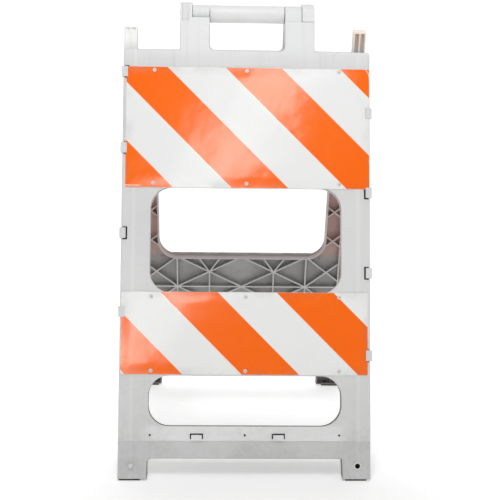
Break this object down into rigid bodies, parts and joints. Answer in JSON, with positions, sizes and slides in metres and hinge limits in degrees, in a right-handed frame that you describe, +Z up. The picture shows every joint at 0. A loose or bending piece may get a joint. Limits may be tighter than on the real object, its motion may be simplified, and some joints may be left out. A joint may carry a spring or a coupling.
{
  "type": "folding a-frame barricade",
  "caption": "Folding A-frame traffic barricade: ribbed, windowed plastic legs on a hinge rod under a turning hand grip, with orange and white striped boards riveted to each face.",
  "frame": {"origin": "on the floor, in the middle between the four feet", "axes": "+Z up, +X to the right seen from the front, -Y towards the front"},
  "size_m": [0.627, 0.7122, 1.1436],
  "materials": {
    "leg_plastic": "moulded off-white polyethylene, fine grain, scuffed",
    "grip_plastic": "moulded off-white polyethylene, worn smooth by hands",
    "board_plastic": "smooth white plastic sheet",
    "white_sheeting": "glossy white reflective sheeting",
    "orange_sheeting": "glossy fluorescent orange reflective sheeting",
    "rivet_aluminium": "dull aluminium",
    "rivet_steel": "snapped steel mandrel",
    "rod_steel": "zinc-plated steel",
    "cap_steel": "zinc-plated pressed steel",
    "pad_rubber": "black moulded rubber"
  },
  "bodies": {
    "front_frame": {"front_leg": "leg_plastic", "front_foot_pads": "pad_rubber", "front_upper_board": "board_plastic", "front_upper_white_sheeting": "white_sheeting", "front_upper_orange_sheeting": "orange_sheeting", "front_upper_rivets": "rivet_aluminium", "front_upper_rivet_mandrels": "rivet_steel", "front_lower_board": "board_plastic", "front_lower_white_sheeting": "white_sheeting", "front_lower_orange_sheeting": "orange_sheeting", "front_lower_rivets": "rivet_aluminium", "front_lower_rivet_mandrels": "rivet_steel", "hinge_rod": "rod_steel", "hinge_rod_caps": "cap_steel"},
    "rear_frame": {"rear_leg": "leg_plastic", "rear_foot_pads": "pad_rubber", "rear_upper_board": "board_plastic", "rear_upper_white_sheeting": "white_sheeting", "rear_upper_orange_sheeting": "orange_sheeting", "rear_upper_rivets": "rivet_aluminium", "rear_upper_rivet_mandrels": "rivet_steel", "rear_lower_board": "board_plastic", "rear_lower_white_sheeting": "white_sheeting", "rear_lower_orange_sheeting": "orange_sheeting", "rear_lower_rivets": "rivet_aluminium", "rear_lower_rivet_mandrels": "rivet_steel"},
    "grip": {"handle_grip": "grip_plastic"}
  },
  "joints": [
    {"name": "leg_fold", "type": "hinge", "parent": "front_frame", "child": "rear_frame", "pos_m": [0, 0, 1.11564], "axis": [-1, 0, 0], "range_deg": [0, 33]},
    {"name": "grip_spin", "type": "hinge", "parent": "front_frame", "child": "grip", "pos_m": [0, 0, 1.11564], "axis": [1, 0, 0], "continuous": true}
  ]
}
